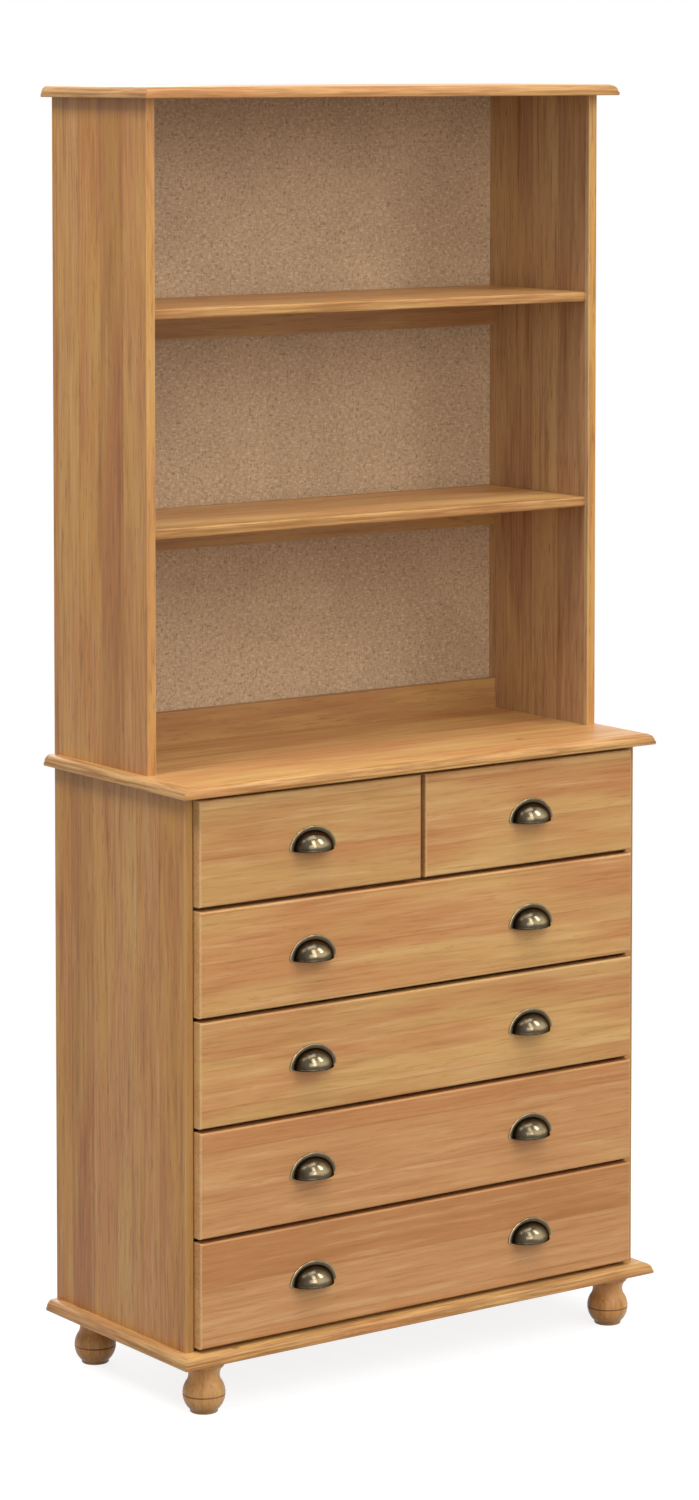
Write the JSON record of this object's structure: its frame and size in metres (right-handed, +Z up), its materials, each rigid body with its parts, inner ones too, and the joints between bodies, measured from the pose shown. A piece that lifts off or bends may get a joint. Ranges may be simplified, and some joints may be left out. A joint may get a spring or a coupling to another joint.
{
  "type": "hutch cabinet",
  "caption": "Pine chest of drawers on turned bun feet with an open bookcase hutch above; the drawers with cup pulls slide out on wooden runners to store clothes and linen",
  "frame": {"origin": "middle of the bounding box, on the floor under the feet", "axes": "+Z up, the drawers open towards -Y, +X to the right seen from the front"},
  "size_m": [0.848, 0.381, 1.868],
  "materials": {
    "pine_boards": "satin lacquer",
    "pine_sides": "satin lacquer",
    "pine_fronts": "satin lacquer",
    "turned_pine": "satin lacquer",
    "drawer_wood": "bare",
    "runner_wood": "bare",
    "dowel_wood": "bare",
    "hardboard": "matt hardboard",
    "aged_brass": "dark antique polish"
  },
  "bodies": {
    "carcass": {"base_board": "pine_boards", "chest_side_left": "pine_sides", "chest_side_right": "pine_sides", "chest_top": "pine_boards", "chest_back_panel": "hardboard", "drawer_deck": "pine_boards", "drawer_divider": "pine_sides", "drawer_runners": "runner_wood", "feet_front": "turned_pine", "feet_back": "turned_pine", "hutch_side_left": "pine_sides", "hutch_side_right": "pine_sides", "hutch_top": "pine_boards", "hutch_shelf_upper": "pine_boards", "hutch_shelf_lower": "pine_boards", "hutch_rail_upper": "pine_boards", "hutch_rail_lower": "pine_boards", "hutch_rail_bottom": "pine_boards", "hutch_back_panel": "hardboard", "hutch_dowels": "dowel_wood"},
    "drawer_top_left": {"drawer_top_left_front": "pine_fronts", "drawer_top_left_side_left": "drawer_wood", "drawer_top_left_side_right": "drawer_wood", "drawer_top_left_rear": "drawer_wood", "drawer_top_left_floor": "hardboard", "drawer_top_left_pull": "aged_brass"},
    "drawer_top_right": {"drawer_top_right_front": "pine_fronts", "drawer_top_right_side_left": "drawer_wood", "drawer_top_right_side_right": "drawer_wood", "drawer_top_right_rear": "drawer_wood", "drawer_top_right_floor": "hardboard", "drawer_top_right_pull": "aged_brass"},
    "drawer_second": {"drawer_second_front": "pine_fronts", "drawer_second_side_left": "drawer_wood", "drawer_second_side_right": "drawer_wood", "drawer_second_rear": "drawer_wood", "drawer_second_floor": "hardboard", "drawer_second_pull_left": "aged_brass", "drawer_second_pull_right": "aged_brass"},
    "drawer_third": {"drawer_third_front": "pine_fronts", "drawer_third_side_left": "drawer_wood", "drawer_third_side_right": "drawer_wood", "drawer_third_rear": "drawer_wood", "drawer_third_floor": "hardboard", "drawer_third_pull_left": "aged_brass", "drawer_third_pull_right": "aged_brass"},
    "drawer_fourth": {"drawer_fourth_front": "pine_fronts", "drawer_fourth_side_left": "drawer_wood", "drawer_fourth_side_right": "drawer_wood", "drawer_fourth_rear": "drawer_wood", "drawer_fourth_floor": "hardboard", "drawer_fourth_pull_left": "aged_brass", "drawer_fourth_pull_right": "aged_brass"},
    "drawer_lowest": {"drawer_lowest_front": "pine_fronts", "drawer_lowest_side_left": "drawer_wood", "drawer_lowest_side_right": "drawer_wood", "drawer_lowest_rear": "drawer_wood", "drawer_lowest_floor": "hardboard", "drawer_lowest_pull_left": "aged_brass", "drawer_lowest_pull_right": "aged_brass"}
  },
  "joints": [
    {"name": "drawer_top_left_slide", "type": "slide", "parent": "carcass", "child": "drawer_top_left", "axis": [0, -1, 0], "range_m": [0, 0.25]},
    {"name": "drawer_top_right_slide", "type": "slide", "parent": "carcass", "child": "drawer_top_right", "axis": [0, -1, 0], "range_m": [0, 0.25]},
    {"name": "drawer_second_slide", "type": "slide", "parent": "carcass", "child": "drawer_second", "axis": [0, -1, 0], "range_m": [0, 0.25]},
    {"name": "drawer_third_slide", "type": "slide", "parent": "carcass", "child": "drawer_third", "axis": [0, -1, 0], "range_m": [0, 0.25]},
    {"name": "drawer_fourth_slide", "type": "slide", "parent": "carcass", "child": "drawer_fourth", "axis": [0, -1, 0], "range_m": [0, 0.25]},
    {"name": "drawer_lowest_slide", "type": "slide", "parent": "carcass", "child": "drawer_lowest", "axis": [0, -1, 0], "range_m": [0, 0.25]}
  ]
}
